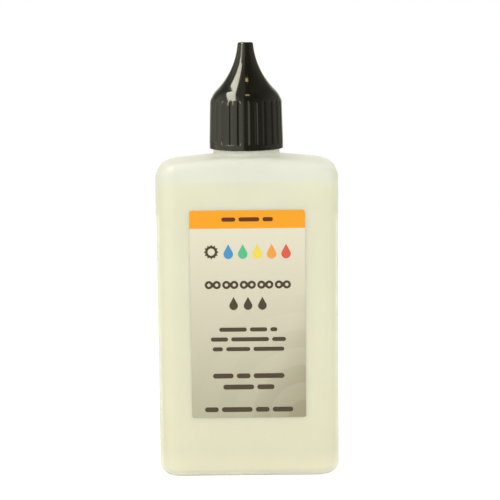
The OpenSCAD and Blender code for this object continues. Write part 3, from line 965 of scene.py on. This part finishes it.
class LUBE_OT_label(bpy.types.Operator):
    """Finishes of the label film and its print"""
    bl_idname = "lube.label"
    bl_label = "Label"

    def execute(self, context):
        label = context.scene.lube_label
        finishes = {
            "label_film": printed_film(label),
            "label_band": ink("flexographic ink, orange", label.band),
            "print_dark": ink("flexographic ink, brown", label.ink, label.band_ink),
            "print_drops": drop_inks(),
        }
        for name, material in finishes.items():
            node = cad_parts[name]
            node.data.materials.clear()
            node.data.materials.append(material)
        return {"FINISHED"}


WARM_WHITE = "FFFBE5"
# what glossy surfaces mirror, azimuth from the front to the right and strength: a pale wall to the
# left, the dark room behind the camera, a dimmer wall to the right, white paper behind
WALLS = ((-180, 1.0), (-163, 1.0), (-148, 0.3), (-130, 0.3), (-108, 1.2), (-60, 1.35), (-12, 1.35),
         (-5, 0.16), (45, 0.16), (75, 0.45), (115, 0.45), (135, 0.25), (148, 0.3), (163, 1.0))
# azimuth and elevation in degrees, distance and size in metres, radiance, lean in degrees, tint
LAMPS = {
    "softbox": (-69, 51, 0.9, (0.74, 0.36), 12.5, -41, WARM_WHITE),
    "strip": (-53, 20, 0.9, (0.30, 0.40), 5.5, 0, WARM_WHITE),
    "bulb": (9, 66, 1.2, (0.20, 0.12), 11, 0, "F2CE8A"),
    "key": (-30, 50, 1.2, (1.2, 1.2), 0.6, 0, "FFFFFF"),
    "rear": (-160, 62, 0.9, (0.6, 0.6), 0.75, 0, "FFFFFF"),
}
# the lamps that light surfaces, where the others are only mirrored in them
LIGHTING = ("key", "rear")


class LUBE_OT_stage(bpy.types.Operator):
    """Floor, lights, surroundings and camera"""
    bl_idname = "lube.stage"
    bl_label = "Stage"

    def execute(self, context):
        self.add_floor(context)
        self.add_surroundings(context.scene)
        for name, values in LAMPS.items():
            self.add_lamp(context.scene, name, *values)
        self.add_camera(context.scene)
        context.scene.view_settings.view_transform = "Standard"
        return {"FINISHED"}

    def add_floor(self, context):
        """White paper, shown as white to the camera except where the bottle shades it."""
        bpy.ops.object.select_all(action="DESELECT")
        bpy.ops.mesh.primitive_plane_add(size=1.2, location=(0, 0, 0))
        floor = context.active_object
        floor.name = "studio_floor"
        material, tree, place = new_material("white paper sweep")
        path = add_node(tree, "LightPath")
        seen = add_node(tree, "Math", {0: path.outputs["Is Camera Ray"], 1: 0.6}, operation="MULTIPLY")
        paper = add_node(tree, "BsdfDiffuse", {"Color": (0.94, 0.94, 0.92, 1)})
        glow = add_node(tree, "Emission", {"Color": (1, 1, 1, 1), "Strength": seen})
        both = add_node(tree, "AddShader", {0: paper, 1: glow})
        add_node(tree, "OutputMaterial", {"Surface": both})
        floor.data.materials.append(material)

    def add_surroundings(self, scene):
        """Even white light, a white backdrop for the camera, and a room for glossy surfaces."""
        scene.world = bpy.data.worlds.new("studio")
        scene.world.use_nodes = True
        tree = scene.world.node_tree
        tree.nodes.clear()
        path = add_node(tree, "LightPath")
        sky = add_node(tree, "TexCoord").outputs["Generated"]
        axes = add_node(tree, "SeparateXYZ", {"Vector": sky})
        ahead = add_node(tree, "Math", {0: axes.outputs["Y"], 1: -1}, operation="MULTIPLY")
        turn = add_node(tree, "Math", {0: axes.outputs["X"], 1: ahead}, operation="ARCTAN2")
        azimuth = add_node(tree, "MapRange", {"Value": turn, "From Min": -math.pi, "From Max": math.pi})
        room = add_node(tree, "ValToRGB", {"Fac": azimuth})
        warm = linear(WARM_WHITE)
        fill_ramp(room, [((a + 180) / 360, [c * k for c in warm]) for a, k in WALLS])
        height = add_node(tree, "MapRange", {
            "Value": axes.outputs["Z"], "From Min": 0.2, "From Max": 0.9, "To Min": 1.0,
            "To Max": 0.3}, **SMOOTHSTEP)
        mirrored = add_node(tree, "Background", {"Color": room, "Strength": height})
        white = add_node(tree, "Background", {"Color": (1, 1, 1, 1)})
        gloss = add_node(tree, "MixShader", {
            "Fac": path.outputs["Is Glossy Ray"], 1: white, 2: mirrored})
        choose = add_node(tree, "MixShader", {"Fac": path.outputs["Is Camera Ray"], 1: gloss, 2: white})
        add_node(tree, "OutputWorld", {"Surface": choose})

    def add_lamp(self, scene, name, azimuth, elevation, distance, size, radiance, lean, tint):
        """A lamp that faces the bottle's middle, azimuth measured from the front to the right."""
        a, e = math.radians(azimuth), math.radians(elevation)
        middle = (CAD_BOX[0][2] + CAD_BOX[1][2]) / 2
        data = bpy.data.lights.new(name, "AREA")
        data.shape = "RECTANGLE"
        data.size, data.size_y = size
        data.energy = radiance * math.pi * size[0] * size[1]
        data.color = linear(tint)
        lamp = bpy.data.objects.new(name, data)
        place = (distance * math.sin(a) * math.cos(e), -distance * math.cos(a) * math.cos(e),
                 middle + distance * math.sin(e))
        face = Matrix.Rotation(a, 4, "Z") @ Matrix.Rotation(math.pi / 2 - e, 4, "X")
        face = face @ Matrix.Rotation(math.radians(lean), 4, "Z")
        lamp.matrix_world = Matrix.Translation(place) @ face
        lamp.visible_diffuse = name in LIGHTING
        lamp.visible_glossy = name not in LIGHTING
        scene.collection.objects.link(lamp)

    def add_camera(self, scene):
        stage = scene.lube_stage
        camera = bpy.data.objects.new("camera", bpy.data.cameras.new("camera"))
        camera.data.lens = stage.lens
        camera.data.sensor_width = 36
        camera.data.clip_start = 0.01
        turn = Matrix.Rotation(math.pi / 2 - stage.pitch, 4, "X") @ Matrix.Rotation(-stage.roll, 4, "Z")
        camera.matrix_world = Matrix.Translation((stage.aside, -stage.distance, stage.height)) @ turn
        scene.collection.objects.link(camera)
        scene.camera = camera


class LUBE_PT_bottle(bpy.types.Panel):
    """Sizes and colours of the bottle, with a button for each piece"""
    bl_label = "Chain Lube Bottle"
    bl_space_type = "VIEW_3D"
    bl_region_type = "UI"
    bl_category = "Lube Bottle"

    def draw(self, context):
        for group, kind in GROUPS.items():
            box = self.layout.box()
            settings = getattr(context.scene, group)
            for name in kind.__annotations__:
                box.prop(settings, name)
        for step in STEPS:
            self.layout.operator(step.bl_idname)


GROUPS = {
    "lube_shell": ShellSettings,
    "lube_neck": NeckSettings,
    "lube_oil": OilSettings,
    "lube_dropper": DropperSettings,
    "lube_cap": CapSettings,
    "lube_label": LabelSettings,
    "lube_stage": StageSettings,
}
STEPS = (LUBE_OT_stage, LUBE_OT_bottle, LUBE_OT_oil, LUBE_OT_dropper, LUBE_OT_cap, LUBE_OT_label)
CLASSES = (*GROUPS.values(), *STEPS, LUBE_PT_bottle)


def register():
    for cls in CLASSES:
        bpy.utils.register_class(cls)
    for group, kind in GROUPS.items():
        setattr(bpy.types.Scene, group, bpy.props.PointerProperty(type=kind))


def unregister():
    for group in GROUPS:
        delattr(bpy.types.Scene, group)
    for cls in reversed(CLASSES):
        bpy.utils.unregister_class(cls)


def main():
    register()
    for step in STEPS:
        category, name = step.bl_idname.split(".")
        getattr(getattr(bpy.ops, category), name)()


if __name__ == "__main__":
    main()
